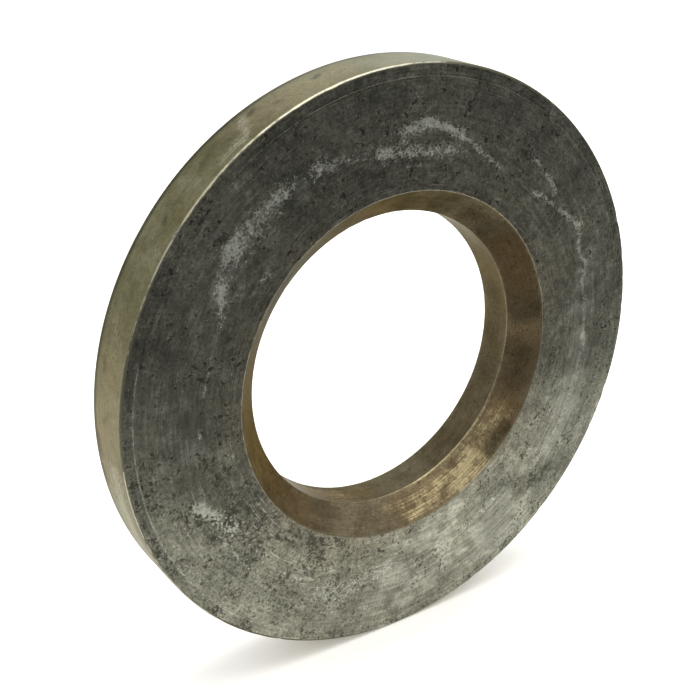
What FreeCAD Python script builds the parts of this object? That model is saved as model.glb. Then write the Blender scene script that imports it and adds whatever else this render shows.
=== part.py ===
"""Bevelled flange ring: one thick, flat steel ring, turned all over from a single blank.

The ring stands on its rim, with its axis along Y and Z up. The origin is on the axis, where the
bore meets the flat back face. The bevelled front face looks along -Y. Sizes are in millimetres.
"""

import FreeCAD, Part
import os
import Sketcher

# Driving dimensions: sheet alias, value in millimetres, meaning.
SIZES = [
    ("outer_diameter", 150.0, "rim, from side to side"),
    ("thickness", 16.2, "front face to back face"),
    ("bore_diameter", 77.6, "cylindrical land behind the bevel"),
    ("bevel_width", 6.6, "bore bevel, measured across the front face"),
    ("bevel_depth", 6.9, "bore bevel, measured along the axis"),
    ("relief_width", 3.2, "turned step round the front face, measured in from the rim"),
    ("relief_depth", 0.12, "how far that step lies behind the front face"),
    ("front_edge_break", 0.45, "small chamfer between the step and the rim"),
    ("back_chamfer", 2.2, "chamfer between the rim and the back face"),
]

TOLERANCE = 1e-4


def add_sheet(document):
    """Spreadsheet with one named cell for each driving dimension."""
    sheet = document.addObject("Spreadsheet::Sheet", "sizes")
    for row, (alias, value, meaning) in enumerate(SIZES, start=1):
        sheet.set(f"A{row}", alias)
        sheet.set(f"B{row}", str(value))
        sheet.set(f"C{row}", meaning)
        sheet.setAlias(f"B{row}", alias)
    document.recompute()
    return sheet


def add_ring_sketch(body, name, outer, inner):
    """Two circles about the axis, on the body's XZ plane, which looks along -Y.

    outer and inner are expressions for the two diameters.
    """
    sketch = body.newObject("Sketcher::SketchObject", name)
    plane = next(item for item in body.Origin.OriginFeatures if item.Role == "XZ_Plane")
    sketch.AttachmentSupport = [(plane, "")]
    sketch.MapMode = "FlatFace"
    centre = FreeCAD.Vector(0, 0, 0)
    normal = FreeCAD.Vector(0, 0, 1)
    for label, expression, first_radius in (("outer", outer, 2.0), ("inner", inner, 1.0)):
        circle = sketch.addGeometry(Part.Circle(centre, normal, first_radius), False)
        sketch.addConstraint(Sketcher.Constraint("Coincident", circle, 3, -1, 1))
        diameter = sketch.addConstraint(Sketcher.Constraint("Diameter", circle, 2 * first_radius))
        sketch.renameConstraint(diameter, label)
        sketch.setExpression(f"Constraints.{label}", expression)
    return sketch


def round_edge(feature, radius, y):
    """Name of the feature's edge that is a full circle of this radius, at this place on the axis."""
    for number, edge in enumerate(feature.Shape.Edges, start=1):
        if not isinstance(edge.Curve, Part.Circle):
            continue
        right_size = abs(edge.Curve.Radius - radius) < TOLERANCE
        right_place = abs(edge.Curve.Center.y - y) < TOLERANCE
        if right_size and right_place:
            return f"Edge{number}"
    raise ValueError(f"{feature.Name} has no round edge of radius {radius} at y = {y}")


def add_chamfer(body, name, base, radius, y, size, size_along_axis=None):
    """Chamfer on the round edge of the given radius and place.

    size and size_along_axis are sheet aliases. With size alone, both legs are equal.
    """
    chamfer = body.newObject("PartDesign::Chamfer", name)
    chamfer.Base = (base, [round_edge(base, radius, y)])
    chamfer.setExpression("Size", f"sizes.{size}")
    if size_along_axis:
        chamfer.ChamferType = "Two distances"
        chamfer.FlipDirection = True
        chamfer.setExpression("Size2", f"sizes.{size_along_axis}")
    body.Document.recompute()
    return chamfer


def add_flange_ring(document, sheet):
    """The whole ring: a padded blank, a turned step, the bore bevel and two rim chamfers."""
    body = document.addObject("PartDesign::Body", "flange_ring")
    body.Label = "flange_ring"
    body.Placement = FreeCAD.Placement()

    blank_sketch = add_ring_sketch(
        body, "blank_outline", "sizes.outer_diameter", "sizes.bore_diameter"
    )
    blank = body.newObject("PartDesign::Pad", "blank")
    blank.Profile = blank_sketch
    blank.setExpression("Length", "sizes.thickness")
    document.recompute()

    relief_sketch = add_ring_sketch(
        body,
        "relief_outline",
        "sizes.outer_diameter",
        "sizes.outer_diameter - 2 * sizes.relief_width",
    )
    relief_sketch.setExpression(".AttachmentOffset.Base.z", "sizes.thickness")
    relief = body.newObject("PartDesign::Pocket", "relief")
    relief.Profile = relief_sketch
    relief.setExpression("Length", "sizes.relief_depth")
    document.recompute()

    rim_radius = sheet.outer_diameter / 2
    bore_radius = sheet.bore_diameter / 2
    front = -sheet.thickness
    relief_floor = front + sheet.relief_depth
    bevel = add_chamfer(body, "bevel", relief, bore_radius, front, "bevel_width", "bevel_depth")
    # These two calls stop the build if the bevel's legs come out the other way round.
    round_edge(bevel, bore_radius + sheet.bevel_width, front)
    round_edge(bevel, bore_radius, front + sheet.bevel_depth)

    front_break = add_chamfer(
        body, "front_break", bevel, rim_radius, relief_floor, "front_edge_break"
    )
    back_break = add_chamfer(body, "back_break", front_break, rim_radius, 0.0, "back_chamfer")
    body.Tip = back_break
    document.recompute()
    return body


def check(document, parts):
    """Stop if any feature failed, or if a sub-part isn't one sound solid."""
    for item in document.Objects:
        if "Invalid" in item.State or "Error" in item.State:
            raise RuntimeError(f"{item.Name} failed: {item.State}")
    for part in parts:
        shape = part.Shape
        if shape.isNull() or not shape.isValid() or len(shape.Solids) != 1:
            raise RuntimeError(f"{part.Label} isn't one sound solid")


def main():
    document = FreeCAD.newDocument("bevelled_flange_ring")
    sheet = add_sheet(document)
    parts = [add_flange_ring(document, sheet)]
    check(document, parts)
    os.makedirs("parts", exist_ok=True)
    for part in parts:
        part.Shape.exportStep(f"parts/{part.Label}.step")


main()
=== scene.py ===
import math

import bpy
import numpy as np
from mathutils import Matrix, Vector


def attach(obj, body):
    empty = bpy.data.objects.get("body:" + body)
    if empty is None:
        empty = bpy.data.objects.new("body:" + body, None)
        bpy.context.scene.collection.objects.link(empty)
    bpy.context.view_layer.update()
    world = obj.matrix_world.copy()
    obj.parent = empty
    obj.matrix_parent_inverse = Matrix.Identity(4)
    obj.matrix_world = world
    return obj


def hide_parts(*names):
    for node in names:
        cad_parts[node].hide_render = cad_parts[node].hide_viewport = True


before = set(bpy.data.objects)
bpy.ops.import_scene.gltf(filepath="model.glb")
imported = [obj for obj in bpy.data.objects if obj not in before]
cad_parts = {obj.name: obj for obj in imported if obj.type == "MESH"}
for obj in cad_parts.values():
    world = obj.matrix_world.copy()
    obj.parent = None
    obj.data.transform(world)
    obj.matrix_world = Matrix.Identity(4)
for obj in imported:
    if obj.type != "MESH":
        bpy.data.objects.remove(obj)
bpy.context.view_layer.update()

# Looks of the bevelled flange ring: one detailed turned mesh round the CAD ring's own section,
# with a grey, rubbed front face and brown oxide on the rim and in the bore.
# Lengths are in metres unless a name says mm. Angles are in degrees round the ring, from +X at 0
# towards +Z at 90, as seen from the front.

MM = 0.001
NODE = "flange_ring"
rng = np.random.default_rng(16)

# ---------------------------------------------------------------------------------------------
# The ring's section, read from the CAD node
# ---------------------------------------------------------------------------------------------

# The section's edges in order, from the bore's back corner outwards: name, row spacing in mm, and
# how bright its first corner has worn.
ZONES = [
    ("back_face", 1.8, 0.6),
    ("back_chamfer", 1.0, 0.5),
    ("rim", 0.9, 0.3),
    ("front_break", 0.12, 0.15),
    ("relief", 0.7, 0.1),
    ("relief_step", 0.5, 0.0),
    ("front_face", 0.6, 0.0),
    ("bevel", 0.6, 0.5),
    ("land", 0.7, 0.3),
]
COLUMNS = 624
EDGE_ROUND = 0.10 * MM       # how far a worn corner's arc reaches along the edges beside it
EDGE_ROUND_SHARE = 0.3       # and at most this share of the shorter of those edges
EDGE_ROW = 0.12 * MM         # extra row this far from each corner's arc
EDGE_WEAR = 0.05 * MM        # how far a corner's wear reaches past its arc
SHORT_EDGE = 4 * EDGE_ROW    # shorter edges get no extra rows
PLACE_DIGITS = 5             # decimals of a metre to which a corner's vertices agree
LEAST_BEND = 0.01            # sine of the least turn that counts as a corner


def section_corners():
    """Corners of the CAD section as (radius, place along Y), from the bore's back corner outwards."""
    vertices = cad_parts[NODE].data.vertices
    found = {
        (round(math.hypot(v.co.x, v.co.z), PLACE_DIGITS), round(v.co.y, PLACE_DIGITS))
        for v in vertices
    }
    middle = np.mean(sorted(found), axis=0)
    around = sorted(found, key=lambda c: -math.atan2(c[1] - middle[1], c[0] - middle[0]))
    first = min(range(len(around)), key=lambda i: (around[i][0], -around[i][1]))
    ring = [Vector(c) for c in around[first:] + around[:first]]
    turns = []
    for before, here, after in zip([ring[-1]] + ring, ring, ring[1:] + ring[:1]):
        bend = (here - before).normalized().cross((after - here).normalized())
        turns.append(abs(bend) > LEAST_BEND)
    return [corner for corner, turn in zip(ring, turns) if turn]


def section_rows(corners):
    """Rows of the mesh: a list of dicts with place, outward normal, zone, run and edge.

    run is the distance along the outline. edge is how bright the row has worn beside a corner.
    """
    count = len(corners)
    edges = [corners[(i + 1) % count] - corners[i] for i in range(count)]
    lengths = [edge.length for edge in edges]
    ways = [edge.normalized() for edge in edges]
    outward = [Vector((-way.y, way.x)) for way in ways]
    rounds = []
    for i in range(count):
        room = EDGE_ROUND_SHARE * min(lengths[i - 1], lengths[i])
        rounds.append(min(EDGE_ROUND, room))
    rows = []
    run = 0.0
    for i, (zone, spacing, wear) in enumerate(ZONES):
        after = (i + 1) % count
        next_wear = ZONES[after][2]
        start, end = rounds[i], lengths[i] - rounds[after]
        steps = max(1, round((end - start) / (spacing * MM)))
        places = [start + (end - start) * k / steps for k in range(steps + 1)]
        if end - start > SHORT_EDGE:
            places += [start + EDGE_ROW, end - EDGE_ROW]
        for place in sorted(places):
            edge = max(
                wear * math.exp((start - place) / EDGE_WEAR),
                next_wear * math.exp((place - end) / EDGE_WEAR),
            )
            rows.append(
                {
                    "at": corners[i] + ways[i] * place,
                    "normal": outward[i],
                    "zone": zone,
                    "run": run + place,
                    "edge": edge,
                }
            )
        run += lengths[i]
        # The middle of a corner's arc lies inside the sharp corner, or outside where it is hollow.
        bisector = (outward[i] + outward[after]).normalized()
        bend = math.asin(ways[i].cross(ways[after]))
        inset = -rounds[after] * math.tan(bend / 4)
        rows.append(
            {
                "at": corners[after] - bisector * inset,
                "normal": bisector,
                "zone": zone,
                "run": run,
                "edge": next_wear,
            }
        )
    return rows


corners = section_corners()
rows = section_rows(corners)
assert len(corners) == len(ZONES)
outer_radius = max(c.x for c in corners)
front_y = min(c.y for c in corners)
ground_z = -outer_radius

# ---------------------------------------------------------------------------------------------
# Marks of use
# ---------------------------------------------------------------------------------------------

# Some marks below are painted light: highlights along the relief step, the front edge, the bevel and the
# land, and shade over the relief step at the top left.
# Each mark runs along a path of (angle, share across its zone), where share 0 is the zone's first
# corner and 1 its last: on the front face 0 is the relief and 1 the bore's mouth, on the bevel 0
# is the mouth and 1 the land. Then come its half width in mm and its strength.

# Where the steel has been rubbed bright, and painted highlights: on the front edge, the relief step, the
# bevel and the land.
RUBS_AND_HIGHLIGHTS = {
    "front_face": [
        ([(11, 0.47), (13, 0.42), (16, 0.39), (18, 0.45), (20.5, 0.46), (24, 0.40), (26.5, 0.38)], 0.8, 0.9),
        ([(26.5, 0.38), (29, 0.42), (32, 0.47), (34, 0.51)], 0.9, 1.0),
        ([(37, 0.55), (40, 0.57)], 0.9, 0.8),
        ([(42, 0.60), (45.5, 0.64)], 0.9, 0.9),
        ([(14, 0.54), (14.5, 0.50)], 0.8, 0.5),
        ([(39, 0.45), (43, 0.42), (47, 0.41), (51, 0.40)], 0.9, 0.85),
        ([(11, 0.47), (5, 0.44), (355, 0.43)], 0.7, 0.6),
        ([(59, 0.65), (61, 0.64)], 0.6, 0.8),
        ([(63, 0.625), (67, 0.59), (71, 0.54), (75, 0.50)], 0.7, 1.0),
        ([(75, 0.50), (79, 0.45), (82, 0.42), (85, 0.395)], 0.9, 1.1),
        ([(85, 0.40), (88, 0.43), (91, 0.45)], 1.8, 0.95),
        ([(75, 0.44), (79, 0.42)], 1.2, 0.45),
        ([(72, 0.63), (78, 0.635)], 0.6, 0.5),
        ([(77, 0.65), (84, 0.65), (91, 0.63), (97, 0.60)], 1.7, 0.85),
        ([(97, 0.60), (102, 0.56), (108, 0.50), (114, 0.46)], 2.0, 0.5),
        ([(112, 0.47), (118, 0.44), (124, 0.41)], 2.4, 0.4),
        ([(124, 0.41), (132, 0.385), (139, 0.39)], 2.6, 0.5),
        ([(139, 0.39), (144, 0.45), (148, 0.53)], 2.8, 0.6),
        ([(128, 0.50), (136, 0.52)], 3.0, 0.3),
        ([(147, 0.50), (150, 0.56), (152, 0.61), (155, 0.64)], 0.9, 0.7),
        ([(160, 0.65), (165, 0.655), (171, 0.63)], 0.8, 0.6),
        ([(199, 0.42), (202, 0.47), (204.5, 0.52), (207, 0.57), (210, 0.61)], 1.7, 1.5),
        ([(209, 0.48), (213, 0.44), (218, 0.42), (222, 0.43)], 1.4, 0.5),
        ([(214, 0.62), (222, 0.60), (230, 0.59)], 0.9, 0.5),
        ([(232, 0.53), (241, 0.53)], 0.6, 0.7),
        ([(180, 0.58), (184, 0.60), (187, 0.59)], 0.6, 0.4),
        ([(245, 0.40), (252, 0.48), (260, 0.54), (268, 0.58)], 3.5, 0.5),
        ([(270, 0.50), (285, 0.51)], 0.7, 0.5),
        ([(250, 0.32), (256, 0.40)], 2.0, 0.35),
        ([(288, 0.54), (297, 0.55), (306, 0.56)], 0.5, 0.6),
        ([(290, 0.58), (304, 0.59)], 0.5, 0.6),
        ([(292, 0.62), (306, 0.63)], 0.5, 0.6),
        (
            [(316, 0.43), (322, 0.40), (330, 0.39), (338, 0.385), (346, 0.39), (352, 0.40), (356, 0.44)],
            1.4,
            0.6,
        ),
        ([(200, 0.80), (208, 0.81)], 0.4, 0.6),
        ([(192, 0.70), (198, 0.69)], 0.4, 0.5),
        ([(86, 0.77), (90, 0.77)], 0.35, 0.7),
        ([(98, 0.83), (103, 0.83)], 0.35, 0.6),
        ([(88, 0.88), (94, 0.88)], 0.35, 0.6),
        ([(138.5, 0.82), (140.5, 0.81)], 0.8, 0.9),
        ([(22, 0.67), (34, 0.67)], 0.35, 0.5),
    ],
    # Painted highlight along the top left of the front edge, with wear; the last mark is a worn line at the
    # lower left.
    "front_break": [
        ([(82, 0.4), (100, 0.4), (120, 0.4)], 0.18, 1.5),
        ([(120, 0.4), (135, 0.4), (150, 0.4)], 0.16, 1.25),
        ([(150, 0.4), (163, 0.4)], 0.13, 1.0),
        ([(184, 0.4), (224, 0.4)], 0.14, 1.4),
    ],
    # Painted highlight: the light line along the relief step.
    "relief": [
        ([(340, 0.85), (0, 0.85), (15, 0.85)], 0.3, 0.35),
        ([(165, 0.98), (190, 0.98), (213, 0.98)], 0.2, 0.85),
        ([(213, 0.98), (250, 0.98), (295, 0.98)], 0.2, 0.6),
    ],
    # Partly brass wear, partly painted highlight where the bevel faces the light at the lower right; the
    # lines at shares 0.01 and 0.99 are painted highlights along its edges.
    "bevel": [
        ([(276, 0.45), (290, 0.45), (325, 0.5)], 4.0, 0.46),
        ([(283, 0.99), (326, 0.99)], 0.25, 0.9),
        ([(296, 0.01), (330, 0.01)], 0.25, 0.8),
        ([(297, 0.1), (302, 0.35), (307, 0.65)], 1.9, 0.75),
        ([(305, 0.1), (310, 0.3)], 1.5, 0.55),
        ([(290, 0.6), (297, 0.5)], 1.6, 0.35),
        ([(275, 0.1), (281, 0.35)], 1.2, 0.5),
        ([(318, 0.75), (326, 0.6)], 1.6, 0.3),
    ],
    "rim": [
        ([(119, 0.2), (121, 0.6), (123, 0.95)], 1.4, 0.8),
        # The rim is lighter from 187 to 204 degrees.
        ([(187, 0.6), (204, 0.5)], 4.0, 1.0),
        ([(124, 0.75), (129, 0.9)], 1.2, 0.6),
        ([(98, 0.7), (104, 0.6)], 2.0, 0.3),
        ([(160, 0.4), (163, 0.8)], 1.5, 0.5),
    ],
    # The first mark is a painted highlight: the land's glint at the lower left.
    "land": [
        ([(224, 0.5), (252, 0.5)], 4.0, 0.8),
        ([(42, 0.5), (60, 0.5)], 4.0, 0.55),
    ],
}
# Where the steel is darker. On the grey faces the pits also crowd together there. On the relief step and
# along the front face's outer edge at the top left the marks are painted shade.
STAINS_AND_SHADE = {
    "relief": [
        ([(165, 0.4), (188, 0.4)], 2.0, 0.35),
        ([(190, 0.4), (222, 0.4)], 2.0, 0.8),
    ],
    # Painted shade over the step's highlight along the top left.
    "relief_step": [
        ([(85, 0.5), (165, 0.5)], 1.0, 1.5),
    ],
    "front_face": [
        # Painted shade along the outer edge at the top left, over the step's highlight.
        ([(85, 0.0), (165, 0.0)], 0.2, 1.5),
        ([(345, 0.1), (354, 0.16), (2, 0.2)], 4.0, 0.45),
        ([(322, 0.06), (318, 0.2), (314, 0.35), (311, 0.5), (309, 0.62)], 3.2, 0.7),
        ([(150, 0.1), (160, 0.25), (168, 0.4)], 4.5, 0.3),
        ([(62, 0.25), (90, 0.2), (120, 0.25)], 8.0, 0.3),
        ([(170, 0.4), (186, 0.5)], 9.0, 0.35),
        ([(298, 0.25), (312, 0.3), (338, 0.25)], 9.0, 0.5),
        ([(150, 0.55), (163, 0.5), (170, 0.8)], 2.5, 0.3),
        ([(102, 0.7), (112, 0.75), (122, 0.7)], 4.0, 0.35),
        ([(50, 0.3), (58, 0.5), (62, 0.75)], 4.0, 0.3),
        ([(196, 0.7), (212, 0.75)], 3.5, 0.35),
        ([(186, 0.5), (215, 0.5), (255, 0.5)], 15.0, 0.50),
        ([(204, 0.88), (252, 0.88)], 4.5, 0.45),
        ([(282, 0.15), (284, 0.2)], 2.5, 0.4),
    ],
    "bevel": [
        ([(313, 0.2), (319, 0.25), (324, 0.2)], 1.9, 0.9),
        ([(290, 0.25), (293, 0.4)], 1.2, 0.7),
        ([(299, 0.75), (301, 0.8)], 1.0, 0.6),
        # Darker on the bevel from 10 to 42 degrees.
        ([(10, 0.5), (42, 0.5)], 5.0, 1.4),
        ([(340, 0.5), (351, 0.5)], 4.0, 0.6),
        ([(48, 0.5), (58, 0.5)], 4.0, 0.5),
        ([(110, 0.5), (150, 0.5)], 5.0, 0.4),
    ],
    "land": [
        ([(340, 0.5), (15, 0.5)], 5.0, 0.5),
    ],
    "rim": [
        ([(142, 0.6), (150, 0.4)], 2.5, 0.3),
        ([(104, 0.35), (105, 0.4)], 0.9, 0.9),
        ([(117, 0.25), (118, 0.3)], 1.1, 0.8),
        ([(113, 0.5), (114, 0.5)], 0.7, 0.7),
        ([(140, 0.5), (141, 0.55)], 0.8, 0.6),
        ([(126, 0.3), (130, 0.45)], 1.5, 0.5),
        ([(175, 0.6), (177, 0.4)], 1.3, 0.5),
        ([(181, 0.12), (184, 0.18)], 1.4, 0.6),
        ([(187, 0.1), (190, 0.15)], 1.0, 0.5),
        ([(166, 0.3), (168, 0.35)], 1.1, 0.6),
        # A dark line all round the rim's back edge.
        ([(0, 0.0), (90, 0.0), (180, 0.0), (270, 0.0), (360, 0.0)], 0.9, 2.0),
    ],
}
# Where the grey faces have worn lighter and smoother, and the painted highlight along the relief step.
WORN_AND_HIGHLIGHTS = {
    # Painted highlight: the light line along the relief step.
    "relief": [
        ([(160, 0.98), (190, 0.98), (225, 0.98)], 0.2, 1.5),
        ([(225, 0.98), (260, 0.98), (300, 0.98)], 0.2, 1.2),
    ],
    "front_face": [
        ([(268, 0.1), (284, 0.3), (300, 0.15)], 8.0, 0.75),
        ([(266, 0.5), (277, 0.75), (288, 0.9)], 6.0, 0.75),
        ([(300, 0.4), (305, 0.1)], 5.0, 0.35),
        ([(322, 0.42), (336, 0.40), (352, 0.42)], 3.5, 0.7),
        ([(240, 0.45), (252, 0.5)], 4.0, 0.5),
        ([(298, 0.35), (315, 0.45), (334, 0.3)], 9.0, 0.35),
        ([(110, 0.50), (120, 0.45), (130, 0.41), (138, 0.40)], 2.2, 0.9),
        ([(138, 0.40), (144, 0.46), (148, 0.54)], 3.0, 1.5),
        ([(340, 0.42), (0, 0.45), (16, 0.5)], 6.0, 0.85),
        ([(171, 0.4), (190, 0.5)], 9.0, 0.8),
    ],
}
# Where the oxide is browner.
WARM = {
    "rim": [
        ([(100, 0.5), (117, 0.5)], 5.0, 0.6),
        ([(168, 0.5), (180, 0.5)], 6.0, 0.5),
        ([(180, 0.15), (192, 0.1)], 2.5, 1.0),
        ([(40, 0.5), (60, 0.5)], 6.0, 0.6),
        ([(250, 0.5), (300, 0.5)], 6.0, 0.6),
    ],
    "bevel": [
        ([(18, 0.5), (36, 0.5)], 5.0, 0.8),
        ([(330, 0.5), (358, 0.5)], 5.0, 0.5),
        ([(276, 0.5), (326, 0.5)], 5.0, 0.45),
        ([(100, 0.5), (112, 0.5)], 4.0, 0.5),
        ([(165, 0.5), (228, 0.5)], 6.0, 0.6),
    ],
    "land": [
        ([(310, 0.5), (20, 0.5)], 5.0, 0.4),
        ([(220, 0.5), (262, 0.5)], 5.0, 0.9),
        ([(28, 0.5), (60, 0.5)], 5.0, 0.7),
    ],
}

# A mark is a narrow core with a faint, wider halo. Together they come to a little over its strength.
CORE_STRENGTH = 0.9
HALO_STRENGTH = 0.16
HALO_WIDTH = 2.6             # in half widths of the core
NO_LENGTH = 1e-12            # keeps a path's step from dividing by nothing


def turn_between(angle, start):
    """Turn from start to angle in degrees, the short way round."""
    return (angle - start + 180) % 360 - 180


def mark_field(marks, angles, radii, runs, zone_run, zone_length):
    """Sum of a zone's marks at each point: about a mark's strength on its path, 0 away from it."""
    field = np.zeros(angles.shape)
    for path, half_width, strength in marks:
        best = np.full(angles.shape, np.inf)
        for (angle_a, share_a), (angle_b, share_b) in zip(path, path[1:]):
            across = radii * np.radians(turn_between(angles, angle_a))
            up = runs - zone_run - share_a * zone_length
            step_across = radii * math.radians(turn_between(angle_b, angle_a))
            step_up = (share_b - share_a) * zone_length
            squared = step_across**2 + step_up**2 + NO_LENGTH
            along = np.clip((across * step_across + up * step_up) / squared, 0, 1)
            away = np.hypot(across - along * step_across, up - along * step_up)
            best = np.minimum(best, away)
        core = np.exp(-((best / (half_width * MM)) ** 2))
        halo = np.exp(-((best / (HALO_WIDTH * half_width * MM)) ** 2))
        field += strength * (CORE_STRENGTH * core + HALO_STRENGTH * halo)
    return field


# ---------------------------------------------------------------------------------------------
# The mesh
# ---------------------------------------------------------------------------------------------

# Dings: zone, how many, half width in mm from and to, depth in mm from and to, share from and to.
DINGS = [
    ("front_face", 46, 0.7, 1.3, 0.010, 0.035, 0.02, 0.98),
    ("rim", 18, 0.8, 1.6, 0.015, 0.05, 0.05, 0.95),
    ("back_face", 20, 1.2, 2.0, 0.02, 0.05, 0.1, 0.9),
    ("bevel", 8, 0.7, 1.2, 0.01, 0.03, 0.1, 0.9),
    ("front_break", 34, 0.35, 0.9, 0.03, 0.16, 0.0, 1.0),
    ("back_chamfer", 14, 0.5, 1.3, 0.03, 0.15, 0.0, 0.3),
    ("bevel", 26, 0.3, 0.7, 0.02, 0.09, 0.0, 0.02),
    ("land", 16, 0.3, 0.6, 0.02, 0.07, 0.0, 0.02),
    ("land", 10, 0.3, 0.6, 0.02, 0.07, 0.98, 1.0),
]
DING_STRETCH = (0.8, 1.8)    # length round the ring over width, from and to
WOBBLE_WAVES = (7, 19, 43, 71, 113)
WOBBLE_DEPTH = 0.03 * MM     # how much deeper the corners are worn in places
FULL_PHASE = 6.3             # one whole turn of a wave's start, in radians
# What the materials read of each point, with the marks it sums and the most that it reaches.
MARK_TABLES = [
    ("rub_and_highlight", RUBS_AND_HIGHLIGHTS, 1.5),
    ("stain_and_shade", STAINS_AND_SHADE, 1.5),
    ("warm", WARM, 1.0),
    ("worn", WORN_AND_HIGHLIGHTS, 1.5),
]


def zone_span(zone):
    """Where a zone starts along the outline, and how long it is."""
    names = [name for name, _, _ in ZONES]
    index = names.index(zone)
    lengths = [
        (corners[(i + 1) % len(corners)] - corners[i]).length for i in range(len(corners))
    ]
    return sum(lengths[:index]), lengths[index]


def ding_depths(angles, radii, runs):
    """How deep the dings press in at each point."""
    outline = sum(zone_span(zone)[1] for zone, _, _ in ZONES)
    depth = np.zeros(angles.shape)
    for zone, number, narrow, wide, shallow, deep, first_share, last_share in DINGS:
        start, length = zone_span(zone)
        for _ in range(number):
            angle = rng.uniform(0, 360)
            place = start + rng.uniform(first_share, last_share) * length
            half_width = rng.uniform(narrow, wide) * MM
            stretch = rng.uniform(*DING_STRETCH)
            across = radii * np.radians(turn_between(angles, angle)) / stretch
            up = (runs - place + outline / 2) % outline - outline / 2
            hollow = np.exp(-(across**2 + up**2) / half_width**2)
            depth = np.maximum(depth, rng.uniform(shallow, deep) * MM * hollow)
    return depth


def wobble(turn):
    """Waves round the ring, from -1 to 1, by which its worn corners are uneven."""
    total = np.zeros(len(turn))
    for waves in WOBBLE_WAVES:
        total += np.sin(waves * turn + rng.uniform(0, FULL_PHASE)) / len(WOBBLE_WAVES)
    return total


def ring_quads(count):
    """Quads between neighbouring columns and rows, closed both ways, facing outwards."""
    column = np.arange(COLUMNS)[:, None]
    row = np.arange(count)[None, :]
    next_column = (column + 1) % COLUMNS
    next_row = (row + 1) % count
    quads = np.stack(
        [
            column * count + row,
            next_column * count + row,
            next_column * count + next_row,
            column * count + next_row,
        ],
        axis=-1,
    )
    return quads.reshape(-1, 4)


def point_fields(angles, radii, runs, row_radius, row_edge):
    """What the materials read of each point, by name."""
    fields = {"run": runs, "edge": np.broadcast_to(row_edge, angles.shape)}
    for name, marks, most in MARK_TABLES:
        field = np.zeros(angles.shape)
        for zone, zone_marks in marks.items():
            inside = np.array([row["zone"] == zone for row in rows])
            found = mark_field(zone_marks, angles, radii, runs, *zone_span(zone))
            field += np.where(inside[None, :], found, 0)
        fields[name] = np.clip(field, 0, most)
    across_face = (row_radius - corners[0].x) / (outer_radius - corners[0].x)
    fields["inner"] = np.broadcast_to(1 - np.clip(across_face, 0, 1), angles.shape)
    return fields


def make_ring():
    """The turned mesh, with its dings, and what the materials read of each point."""
    turn = np.arange(COLUMNS) * 2 * math.pi / COLUMNS
    row_radius = np.array([row["at"].x for row in rows])
    row_y = np.array([row["at"].y for row in rows])
    row_out = np.array([row["normal"].x for row in rows])
    row_up = np.array([row["normal"].y for row in rows])
    row_run = np.array([row["run"] for row in rows])
    row_edge = np.array([row["edge"] for row in rows])
    angles, runs = np.meshgrid(np.degrees(turn), row_run, indexing="ij")
    radii = np.broadcast_to(row_radius, angles.shape)

    depth = ding_depths(angles, radii, runs)
    depth += WOBBLE_DEPTH * np.outer(0.5 + 0.5 * wobble(turn), row_edge)
    radius = row_radius[None, :] - depth * row_out[None, :]
    y = row_y[None, :] - depth * row_up[None, :]
    points = np.stack(
        [radius * np.cos(turn)[:, None], y, radius * np.sin(turn)[:, None]], axis=-1
    ).reshape(-1, 3)

    mesh = bpy.data.meshes.new("turned_ring")
    mesh.from_pydata(points.tolist(), [], ring_quads(len(rows)).tolist())
    mesh.update()
    mesh.shade_smooth()

    wearer = {zone: i for i, (_, zones) in enumerate(MATERIALS) for zone in zones}
    for material, _ in MATERIALS:
        mesh.materials.append(material)
    row_material = [wearer[row["zone"]] for row in rows]
    mesh.polygons.foreach_set("material_index", np.tile(row_material, COLUMNS))

    for name, values in point_fields(angles, radii, runs, row_radius, row_edge).items():
        attribute = mesh.attributes.new(name, "FLOAT", "POINT")
        attribute.data.foreach_set("value", values.astype(np.float32).ravel())
    piece = bpy.data.objects.new("turned_ring", mesh)
    bpy.context.scene.collection.objects.link(piece)
    return piece


# ---------------------------------------------------------------------------------------------
# Materials
# ---------------------------------------------------------------------------------------------


NOISE_SPREAD = 9             # noise strays from its middle by about 1 / 9 either way
SEED_SHIFT = (1.0, 2.3, 3.1)  # how a seed moves a noise along each axis


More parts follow.
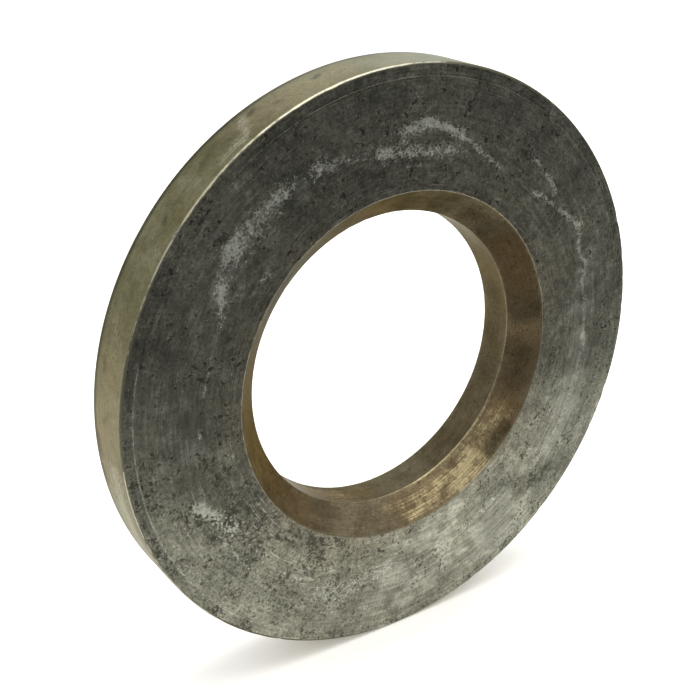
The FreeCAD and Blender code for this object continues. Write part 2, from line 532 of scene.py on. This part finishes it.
class Shader:
    """A material's node tree, with short calls for the nodes that the steels share."""

    def __init__(self, name):
        self.material = bpy.data.materials.new(name)
        self.material.use_nodes = True
        self.nodes = self.material.node_tree.nodes
        self.links = self.material.node_tree.links
        self.surface = self.nodes["Principled BSDF"]
        place = self.nodes.new("ShaderNodeTexCoord").outputs["Object"]
        self.mm = self.vector("MULTIPLY", place, (1 / MM, 1 / MM, 1 / MM))
        flat = self.vector("MULTIPLY", place, (1, 0, 1))
        self.around = self.vector("NORMALIZE", flat)
        self.run = self.math("MULTIPLY", self.attribute("run"), 1 / MM)

    def put(self, socket, value):
        if isinstance(value, bpy.types.NodeSocket):
            self.links.new(value, socket)
        else:
            socket.default_value = value

    def attribute(self, name):
        node = self.nodes.new("ShaderNodeAttribute")
        node.attribute_name = name
        return node.outputs["Fac"]

    def math(self, operation, a, b=0.0, c=0.0):
        node = self.nodes.new("ShaderNodeMath")
        node.operation = operation
        for socket, value in zip(node.inputs, (a, b, c)):
            self.put(socket, value)
        return node.outputs[0]

    def scaled(self, value, by, plus):
        """value times by, plus plus."""
        return self.math("MULTIPLY_ADD", value, by, plus)

    def times(self, *factors):
        result = factors[0]
        for factor in factors[1:]:
            result = self.math("MULTIPLY", result, factor)
        return result

    def sum(self, *terms):
        result = terms[0]
        for term in terms[1:]:
            result = self.math("ADD", result, term)
        return result

    def vector(self, operation, a, b=None):
        node = self.nodes.new("ShaderNodeVectorMath")
        node.operation = operation
        self.put(node.inputs[0], a)
        if b is not None:
            self.put(node.inputs[1], b)
        return node.outputs["Vector"]

    def step(self, value, low, high):
        """0 where value is under low, 1 where it is over high, and smooth between them."""
        node = self.nodes.new("ShaderNodeMapRange")
        node.interpolation_type = "SMOOTHSTEP"
        self.put(node.inputs["Value"], value)
        node.inputs["From Min"].default_value = low
        node.inputs["From Max"].default_value = high
        return node.outputs["Result"]

    def mix(self, factor, a, b):
        """Colour a where factor is 0, colour b where it is 1."""
        node = self.nodes.new("ShaderNodeMix")
        node.data_type = "RGBA"
        # The node has sockets of the same name for every data type, so these go by number:
        # 0 is the factor, 6 and 7 are colours A and B, and output 2 is the mixed colour.
        self.put(node.inputs[0], factor)
        self.put(node.inputs[6], a)
        self.put(node.inputs[7], b)
        return node.outputs[2]

    def shade(self, colour, factor):
        """colour times a number."""
        node = self.nodes.new("ShaderNodeVectorMath")
        node.operation = "SCALE"
        self.put(node.inputs[0], colour)
        self.put(node.inputs["Scale"], factor)
        return node.outputs["Vector"]

    def noise(self, vector, detail, roughness):
        node = self.nodes.new("ShaderNodeTexNoise")
        self.put(node.inputs["Vector"], vector)
        node.inputs["Scale"].default_value = 1.0
        node.inputs["Detail"].default_value = detail
        node.inputs["Roughness"].default_value = roughness
        return node.outputs["Fac"]

    def patches(self, size, seed, detail=3.0, roughness=0.6):
        """Noise with patches about size mm across."""
        apart = tuple(seed * shift for shift in SEED_SHIFT)
        return self.noise(
            self.vector("ADD", self.shade(self.mm, 1 / size), apart), detail, roughness
        )

    def lines(self, long, wide, seed, detail=2.0, roughness=0.6):
        """Noise drawn out round the ring: marks about long mm long and wide mm wide."""
        turns = self.shade(self.around, outer_radius / MM / long)
        height = self.nodes.new("ShaderNodeCombineXYZ")
        self.put(height.inputs["Y"], self.scaled(self.run, by=1 / wide, plus=seed))
        return self.noise(
            self.vector("ADD", turns, height.outputs["Vector"]), detail, roughness
        )

    def swing(self, noise, spread):
        """A factor about 1 that strays by about spread either way."""
        gain = NOISE_SPREAD * spread
        return self.scaled(noise, by=gain, plus=1 - gain / 2)

    def bump(self, height, depth_mm):
        node = self.nodes.new("ShaderNodeBump")
        node.inputs["Strength"].default_value = 1.0
        node.inputs["Distance"].default_value = depth_mm * MM
        self.put(node.inputs["Height"], height)
        self.put(self.surface.inputs["Normal"], node.outputs["Normal"])


FACE_COLOUR = (0.250, 0.252, 0.200, 1)
FACE_BROWN = (0.222, 0.206, 0.152, 1)    # near the bore, and in clouds
FACE_RUBBED_AND_HIGHLIGHT = (0.560, 0.570, 0.490, 1)
FACE_WORN_AND_HIGHLIGHT = (0.340, 0.342, 0.288, 1)
FACE_PIT = (0.060, 0.056, 0.042, 1)
FACE_TINT = (0.75, 0.75, 0.72, 1)        # what the face mirrors at a glancing angle


def face_pits(s):
    """Small and large pits. They crowd together in clouds, where the face is stained, and under the painted
    shade along its outer edge at the top left.
    """
    crowd = s.sum(
        s.scaled(s.patches(8, seed=7.0, detail=2.0), by=0.45, plus=-0.225),
        s.times(s.attribute("stain_and_shade"), 0.07),
        s.times(s.attribute("worn"), -0.06),
    )
    small = s.step(s.sum(s.patches(0.6, seed=8.0, detail=2.0), crowd), low=0.595, high=0.65)
    large = s.step(s.sum(s.patches(1.3, seed=9.0, detail=3.0), crowd), low=0.63, high=0.65)
    return small, large


def face_rub_and_highlight(s):
    """Rubs, and the painted highlight along the relief step, break up into grains, and a few grains shine
    everywhere.
    """
    breakup = s.sum(
        s.times(s.patches(0.4, seed=10.0, detail=2.0, roughness=0.8), 0.55),
        s.times(s.patches(1.6, seed=10.5, detail=4.0, roughness=0.7), 0.45),
    )
    ragged = s.scaled(breakup, by=4.6, plus=-2.3)
    return s.step(s.sum(s.times(s.attribute("rub_and_highlight"), 0.85), ragged), low=0.42, high=1.00)


def face_scratches(s, near_bore):
    """Fine scratches round the ring, in patches, and more of them near the bore."""
    lines = s.sum(s.lines(11, 0.22, seed=11.0, detail=2.0), s.times(near_bore, 0.09))
    return s.times(
        s.step(lines, low=0.665, high=0.70),
        s.step(s.patches(7, seed=12.0, detail=2.0), low=0.44, high=0.54),
    )


def face_steel(name, tone, turning_spread):
    """The grey faces: mottled, peppered with dark pits, rubbed light in places, with a painted highlight
    along the relief step and painted shade along the front face's outer edge at the top left.
    """
    s = Shader(name)
    cloud = s.patches(17, seed=1.0, detail=2.0)
    blotch = s.patches(6.5, seed=2.0, detail=4.0)
    mottle = s.patches(2.4, seed=3.0, detail=4.0)
    grain = s.patches(0.75, seed=4.0, detail=3.0, roughness=0.7)
    turning = s.lines(90, 0.4, seed=5.0, detail=3.0, roughness=0.7)
    streak = s.lines(9, 0.9, seed=6.0, detail=3.0)
    near_bore = s.attribute("inner")
    pits, spots = face_pits(s)
    rub_and_highlight = face_rub_and_highlight(s)
    scratches = face_scratches(s, near_bore)

    brown = s.sum(s.times(near_bore, 0.8), s.scaled(cloud, by=1.2, plus=-0.70))
    base = s.mix(s.step(brown, low=0.0, high=1.0), FACE_COLOUR, FACE_BROWN)
    # Worn places, and the painted highlight along the relief step, turn lighter and smoother.
    smooth = s.sum(s.times(s.attribute("worn"), 1.1), s.times(blotch, 4.0), s.times(streak, 1.4))
    base = s.mix(s.times(s.step(smooth, low=3.3, high=4.0), 0.75), base, FACE_WORN_AND_HIGHLIGHT)
    base = s.shade(base, tone)
    # Worn places have less grain.
    calm = s.scaled(s.attribute("worn"), by=-0.5, plus=1.0)
    grain = s.scaled(s.math("SUBTRACT", grain, 0.5), by=calm, plus=0.5)
    for noise, spread in (
        (cloud, 0.13),
        (blotch, 0.13),
        (mottle, 0.12),
        (grain, 0.25),
        (turning, turning_spread),
        (streak, 0.12),
    ):
        base = s.shade(base, s.swing(noise, spread))
    # Stains, and the painted shade along the outer edge at the top left, darken the face.
    stain_and_shade = s.times(s.attribute("stain_and_shade"), s.step(mottle, low=0.3, high=0.62))
    base = s.shade(base, s.scaled(stain_and_shade, by=-0.46, plus=1.0))
    # Rubs and the painted highlight along the relief step lighten the face.
    base = s.mix(s.times(rub_and_highlight, 0.8), base, s.shade(FACE_RUBBED_AND_HIGHLIGHT[:3], s.swing(grain, 0.2)))
    base = s.mix(s.times(scratches, 0.55), base, FACE_RUBBED_AND_HIGHLIGHT)
    base = s.mix(s.times(pits, 0.68), base, FACE_PIT)
    base = s.mix(s.times(spots, 0.85), base, FACE_PIT)
    worn = s.times(s.attribute("edge"), s.step(s.patches(1.6, seed=13.0), low=0.36, high=0.6))
    base = s.mix(s.times(worn, 0.6), base, FACE_RUBBED_AND_HIGHLIGHT)
    s.put(s.surface.inputs["Base Color"], base)

    s.surface.inputs["Metallic"].default_value = 0.9
    s.surface.inputs["Specular Tint"].default_value = FACE_TINT
    rough = s.sum(
        s.scaled(mottle, by=0.16, plus=0.25),
        s.times(pits, 0.15),
        s.times(rub_and_highlight, 0.2),
    )
    s.put(s.surface.inputs["Roughness"], rough)
    height = s.sum(
        s.times(turning, 0.6),
        s.times(grain, 0.6),
        s.times(pits, -0.4),
        s.times(spots, -0.6),
    )
    s.bump(height, depth_mm=0.03)
    return s.material


OXIDE_WORN = (0.52, 0.46, 0.30, 1)       # the bright line along an oxidised corner


def oxide_steel(
    name, dark, light, brown, rubbed_and_highlight, grazing, patch_size, blot_depth, groove_mm, depth_mm
):
    """Turned steel under a thin oxide: rim, bevel and land differ in colour and in grooves. On the bevel and
    the land some rubs are painted highlights.
    """
    s = Shader(name)
    cloud = s.patches(patch_size, seed=21.0, detail=3.0)
    mottle = s.patches(2.2, seed=22.0, detail=4.0)
    grain = s.patches(0.6, seed=23.0, detail=2.0, roughness=0.7)
    groove = s.lines(140, groove_mm, seed=24.0, detail=1.0)
    fine = s.lines(30, groove_mm * 0.5, seed=25.0, detail=2.0)
    pits = s.step(s.patches(0.9, seed=26.0, detail=2.0), low=0.62, high=0.68)
    # Dark blots lie mostly on the rubbed and highlighted places.
    blots = s.times(
        s.step(s.patches(2.4, seed=29.0, detail=4.0), low=0.52, high=0.56),
        s.scaled(s.attribute("rub_and_highlight"), by=1.0, plus=0.15),
    )

    # Rubs and painted highlights catch the tops of the grooves first.
    breakup = s.sum(
        s.times(s.patches(0.8, seed=27.0, detail=3.0, roughness=0.75), 0.45),
        s.times(fine, 0.2),
        s.times(mottle, 0.2),
        s.times(groove, 0.15),
    )
    ragged = s.scaled(breakup, by=4.0, plus=-2.0)
    rub_and_highlight = s.step(s.sum(s.times(s.attribute("rub_and_highlight"), 0.8), ragged), low=0.25, high=1.0)
    # Stains and other darker marks darken the oxide; on the relief step the mark is painted shade.
    stain_and_shade = s.sum(s.times(s.attribute("stain_and_shade"), 0.8), s.times(ragged, 0.3))
    stain_and_shade = s.step(stain_and_shade, low=0.1, high=0.8)

    base = s.mix(s.step(cloud, low=0.36, high=0.64), dark, light)
    base = s.mix(s.attribute("warm"), base, brown)
    for noise, spread in ((mottle, 0.09), (grain, 0.11), (fine, 0.07)):
        base = s.shade(base, s.swing(noise, spread))
    base = s.mix(s.times(rub_and_highlight, 0.85), base, s.shade(rubbed_and_highlight[:3], s.swing(fine, 0.28)))
    for mark, darkening in ((stain_and_shade, 0.62), (pits, 0.35), (blots, blot_depth)):
        base = s.shade(base, s.scaled(mark, by=-darkening, plus=1.0))
    worn = s.times(s.attribute("edge"), s.scaled(s.patches(1.2, seed=28.0), by=2.4, plus=-0.4))
    base = s.mix(worn, base, OXIDE_WORN)
    s.put(s.surface.inputs["Base Color"], base)

    s.surface.inputs["Metallic"].default_value = 1.0
    s.surface.inputs["Specular Tint"].default_value = (grazing, grazing, 0.93 * grazing, 1)
    s.put(s.surface.inputs["Roughness"], s.scaled(mottle, by=0.16, plus=0.30))
    height = s.sum(
        s.times(groove, 0.7),
        s.times(fine, 0.4),
        s.times(grain, 0.12),
        s.times(pits, -0.4),
    )
    s.bump(height, depth_mm)
    return s.material


EDGE_DULL = (0.135, 0.130, 0.095, 1)
# The two bright colours below paint the front edge's highlight along its top left, together with its wear.
EDGE_WORN_AND_HIGHLIGHT = (0.42, 0.38, 0.24, 1)
EDGE_POLISH_AND_HIGHLIGHT = (0.46, 0.46, 0.43, 1)
EDGE_TINT = (0.2, 0.2, 0.18, 1)


def edge_steel():
    """The small chamfer between the front face and the rim: dull, and bright where it is worn and where its
    highlight is painted along the top left.
    """
    s = Shader("edge_steel")
    mottle = s.patches(2.6, seed=31.0, detail=4.0, roughness=0.7)
    long_wear = s.patches(22, seed=32.0, detail=2.0)
    fine = s.lines(30, 0.15, seed=33.0)
    breakup = s.sum(s.times(mottle, 0.6), s.times(long_wear, 0.4))
    # Worn brightness, and the painted highlight along the top left of the edge.
    wear = s.sum(s.times(s.attribute("rub_and_highlight"), 0.6), s.scaled(breakup, by=4.0, plus=-2.0))
    polish_and_highlight = s.step(s.attribute("rub_and_highlight"), low=0.8, high=1.3)
    bright_wear_and_highlight = s.mix(polish_and_highlight, EDGE_WORN_AND_HIGHLIGHT, EDGE_POLISH_AND_HIGHLIGHT)
    base = s.mix(s.step(wear, low=0.2, high=0.7), EDGE_DULL, bright_wear_and_highlight)
    base = s.shade(base, s.swing(fine, 0.08))
    s.put(s.surface.inputs["Base Color"], base)
    s.surface.inputs["Metallic"].default_value = 1.0
    s.surface.inputs["Specular Tint"].default_value = EDGE_TINT
    s.put(s.surface.inputs["Roughness"], s.scaled(mottle, by=0.2, plus=0.34))
    s.bump(s.sum(mottle, fine), depth_mm=0.04)
    return s.material


def rim_oxide():
    return oxide_steel(
        "rim_oxide",
        dark=(0.125, 0.115, 0.058, 1),
        light=(0.175, 0.165, 0.098, 1),
        brown=(0.200, 0.160, 0.090, 1),
        rubbed_and_highlight=(0.340, 0.320, 0.235, 1),
        grazing=0.75,
        patch_size=9,
        blot_depth=0.10,
        groove_mm=0.5,
        depth_mm=0.012,
    )


def bevel_oxide():
    return oxide_steel(
        "bevel_oxide",
        dark=(0.122, 0.100, 0.062, 1),
        light=(0.188, 0.158, 0.098, 1),
        brown=(0.190, 0.130, 0.064, 1),
        # Brass wear and the painted highlight at the lower right take this colour.
        rubbed_and_highlight=(0.430, 0.360, 0.200, 1),
        grazing=0.35,
        patch_size=8,
        blot_depth=0.33,
        groove_mm=0.42,
        depth_mm=0.045,
    )


def land_oxide():
    return oxide_steel(
        "land_oxide",
        dark=(0.070, 0.058, 0.034, 1),
        light=(0.104, 0.090, 0.055, 1),
        brown=(0.100, 0.072, 0.036, 1),
        # The land's painted glint at the lower left takes this colour.
        rubbed_and_highlight=(0.250, 0.185, 0.095, 1),
        grazing=0.6,
        patch_size=10,
        blot_depth=0.08,
        groove_mm=0.6,
        depth_mm=0.012,
    )


# The ring's materials in order, each with the zones of the section that wear it.
MATERIALS = [
    (face_steel("face_steel", tone=1.0, turning_spread=0.08), ("back_face", "front_face")),
    (face_steel("relief_steel", tone=0.90, turning_spread=0.13), ("relief",)),
    (rim_oxide(), ("back_chamfer", "rim")),
    (edge_steel(), ("front_break",)),
    (bevel_oxide(), ("bevel",)),
    (land_oxide(), ("land", "relief_step")),
]

ring = make_ring()
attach(ring, "root")
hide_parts(NODE)

# ---------------------------------------------------------------------------------------------
# Camera, floor and light
# ---------------------------------------------------------------------------------------------

VIEW_AZIMUTH = -33.73        # the camera stands to the front left
VIEW_ELEVATION = 24.04
VIEW_DISTANCE = 3.988        # in outer radii, as are the next two
AIM_RIGHT = -0.1762          # the camera aims a little up and left of the front face's centre
AIM_UP = 0.0694
FOCAL_LENGTH = 62.59         # in mm, as is the next
SENSOR_WIDTH = 36
NEAREST_SEEN = 0.01          # in metres


def view_directions():
    """Right, up and forward of the camera."""
    azimuth = math.radians(VIEW_AZIMUTH)
    elevation = math.radians(VIEW_ELEVATION)
    level = math.cos(elevation)
    forward = Vector((-math.sin(azimuth) * level, math.cos(azimuth) * level, -math.sin(elevation)))
    right = Vector((math.cos(azimuth), math.sin(azimuth), 0))
    return right, right.cross(forward), forward


def add_camera():
    right, up, forward = view_directions()
    face_centre = Vector((0, front_y, 0))
    aim = face_centre + (right * AIM_RIGHT + up * AIM_UP) * outer_radius
    data = bpy.data.cameras.new("camera")
    data.sensor_width = SENSOR_WIDTH
    data.lens = FOCAL_LENGTH
    data.clip_start = NEAREST_SEEN
    camera = bpy.data.objects.new("camera", data)
    place = aim - forward * VIEW_DISTANCE * outer_radius
    turn = Matrix((right, up, -forward)).transposed().to_4x4()
    camera.matrix_world = Matrix.Translation(place) @ turn
    bpy.context.scene.collection.objects.link(camera)
    bpy.context.scene.camera = camera


TABLE_SIDES = (-0.60, 0.60)
TABLE_FRONT = -0.095         # the face mirrors the table, and past this edge the world below
TABLE_BACK = 0.80
TABLE_GLOW = 0.22            # lifts the ring's shadow, as on a light table
TABLE_COLOUR = (0.9, 0.9, 0.9, 1)
GLOW_COLOUR = (1.0, 0.94, 0.78, 1)


def add_floor():
    """A pale table top. Its front edge lies just out of view."""
    left, right = TABLE_SIDES
    points = [
        (left, TABLE_FRONT, ground_z),
        (right, TABLE_FRONT, ground_z),
        (right, TABLE_BACK, ground_z),
        (left, TABLE_BACK, ground_z),
    ]
    mesh = bpy.data.meshes.new("floor")
    mesh.from_pydata(points, [], [(0, 1, 2, 3)])
    floor = bpy.data.objects.new("floor", mesh)
    bpy.context.scene.collection.objects.link(floor)
    s = Shader("floor_paint")
    s.surface.inputs["Base Color"].default_value = TABLE_COLOUR
    s.surface.inputs["Roughness"].default_value = 0.8
    s.surface.inputs["Emission Color"].default_value = GLOW_COLOUR
    s.surface.inputs["Emission Strength"].default_value = TABLE_GLOW
    mesh.materials.append(s.material)


LIGHT_POWER = 4              # power of a light 1 m across, for each unit of radiance


def add_softbox(name, place, size, radiance, colour):
    """Square area light at place, turned to the ring. Its power grows with its area."""
    data = bpy.data.lights.new(name, "AREA")
    data.shape = "SQUARE"
    data.size = size
    data.energy = LIGHT_POWER * radiance * size * size
    data.color = colour
    light = bpy.data.objects.new(name, data)
    light.location = place
    light.rotation_euler = (-Vector(place)).to_track_quat("-Z", "Y").to_euler()
    light.visible_camera = False
    bpy.context.scene.collection.objects.link(light)


SKY_ABOVE = 1.0
SKY_BELOW = 0.40
SKY_EDGE = (-0.35, -0.05)    # heights of the view direction where the lower sky turns into the upper
SKY_TO_CAMERA = 1.3
# Dim parts of the room, mirrored in the face and in the bevel: the direction of the middle, how
# bright it is there, and the angles from the middle where it starts and where it is full.
DIM_PARTS = [
    ((0.45, -0.88, -0.11), 0.03, 36.5, 17),
    ((-0.76, -0.62, -0.10), 0.30, 38, 15),
]


def add_world():
    """White to the camera. To the ring it is pale above, dimmer below, and has two dim parts."""
    world = bpy.data.worlds.new("studio")
    bpy.context.scene.world = world
    world.use_nodes = True
    nodes, links = world.node_tree.nodes, world.node_tree.links
    direction = nodes.new("ShaderNodeTexCoord").outputs["Generated"]

    def ramp(value, low, high, at_low, at_high):
        """at_low where value is under low, at_high where it is over high, smooth between."""
        node = nodes.new("ShaderNodeMapRange")
        node.interpolation_type = "SMOOTHSTEP"
        links.new(value, node.inputs["Value"])
        for name, given in zip(("From Min", "From Max"), (low, high)):
            node.inputs[name].default_value = given
        for name, given in zip(("To Min", "To Max"), (at_low, at_high)):
            if isinstance(given, bpy.types.NodeSocket):
                links.new(given, node.inputs[name])
            else:
                node.inputs[name].default_value = given
        return node.outputs["Result"]

    split = nodes.new("ShaderNodeSeparateXYZ")
    links.new(direction, split.inputs[0])
    room = ramp(split.outputs["Z"], *SKY_EDGE, SKY_BELOW, SKY_ABOVE)
    for middle, dim_level, starts, full in DIM_PARTS:
        toward = nodes.new("ShaderNodeVectorMath")
        toward.operation = "DOT_PRODUCT"
        links.new(direction, toward.inputs[0])
        toward.inputs[1].default_value = Vector(middle).normalized()
        edges = [math.cos(math.radians(angle)) for angle in (starts, full)]
        room = ramp(toward.outputs["Value"], *edges, room, dim_level)
    seen = nodes.new("ShaderNodeLightPath").outputs["Is Camera Ray"]
    level = ramp(seen, 0.0, 1.0, room, SKY_TO_CAMERA)
    links.new(level, nodes["Background"].inputs["Strength"])
    nodes["Background"].inputs["Color"].default_value = (1, 1, 1, 1)


add_camera()
add_floor()
add_world()
add_softbox("back_window", (0.30, 0.46, 0.30), size=0.45, radiance=0.6, colour=(0.86, 0.94, 1.0))
add_softbox("ceiling", (0.10, -0.05, 0.80), size=0.70, radiance=2.6, colour=(1.0, 0.965, 0.90))
bpy.context.scene.view_settings.view_transform = "Standard"
